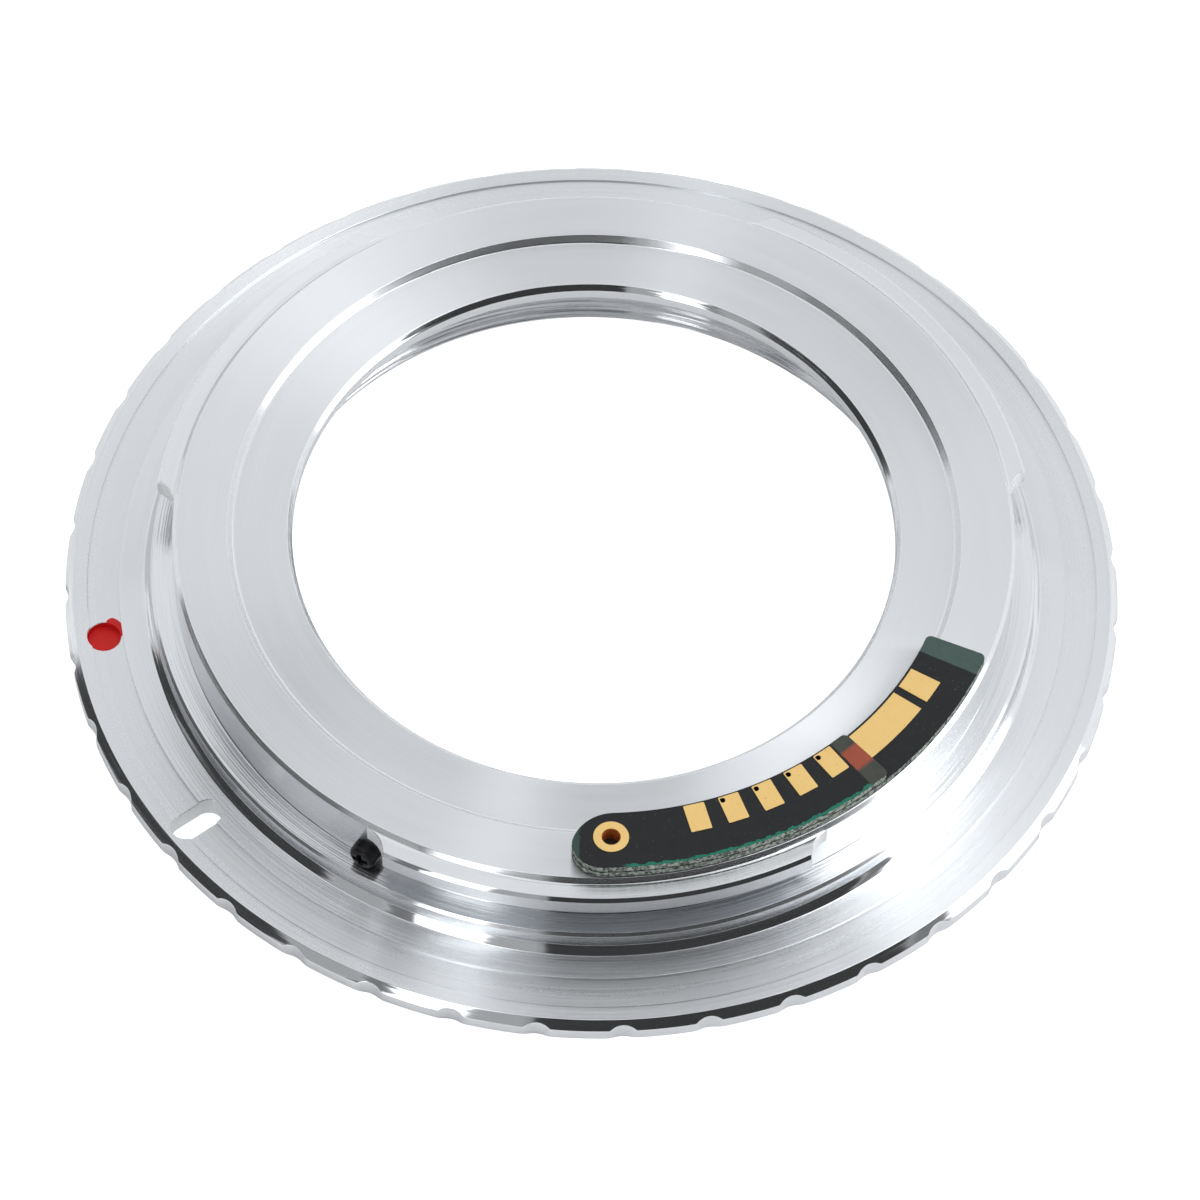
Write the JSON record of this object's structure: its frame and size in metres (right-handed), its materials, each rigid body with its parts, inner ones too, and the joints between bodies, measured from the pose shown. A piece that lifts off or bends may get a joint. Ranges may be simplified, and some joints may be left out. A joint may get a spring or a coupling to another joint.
{
  "type": "lens mount adapter",
  "caption": "Flat metal ring that joins a screw-thread lens to a bayonet camera: thread below, flange with scalloped rim, bayonet lugs, and an arc-shaped contact chip on top.",
  "frame": {"origin": "centre of the underside, where the lens seats, on the ring's axis", "axes": "+Z along the optical axis towards the camera; +Y through the index dot; the ring lies flat on its underside"},
  "size_m": [0.065, 0.065, 0.0078],
  "materials": {
    "ring_metal": "fine turned aluminium with a light satin anodised coat, brighter on the bevels",
    "dot_paint": "red enamel filled into the recess, a little chipped at one edge",
    "screw_black": "black oxide on steel, slightly shiny",
    "board": "glass-fibre circuit board with a near-black solder mask and rough green-grey edges",
    "gold": "flat gold plating on copper, slightly matt",
    "film": "thin dull adhesive",
    "component_body": "moulded black package",
    "ceramic": "tan ceramic with tinned ends"
  },
  "bodies": {
    "root": {"adapter_ring": "ring_metal", "index_dot": "dot_paint", "stop_screw": "screw_black", "adhesive_film": "film", "chip_base_board": "board", "chip_top_board": "board", "bond_film": "film", "microcontroller": "component_body", "capacitor": "ceramic", "long_contact_pad": "gold", "short_contact_pad": "gold", "plated_eyelet": "gold", "contact_pad_1": "gold", "contact_pad_2": "gold", "contact_pad_3": "gold", "contact_pad_4": "gold", "contact_pad_5": "gold"}
  },
  "joints": []
}
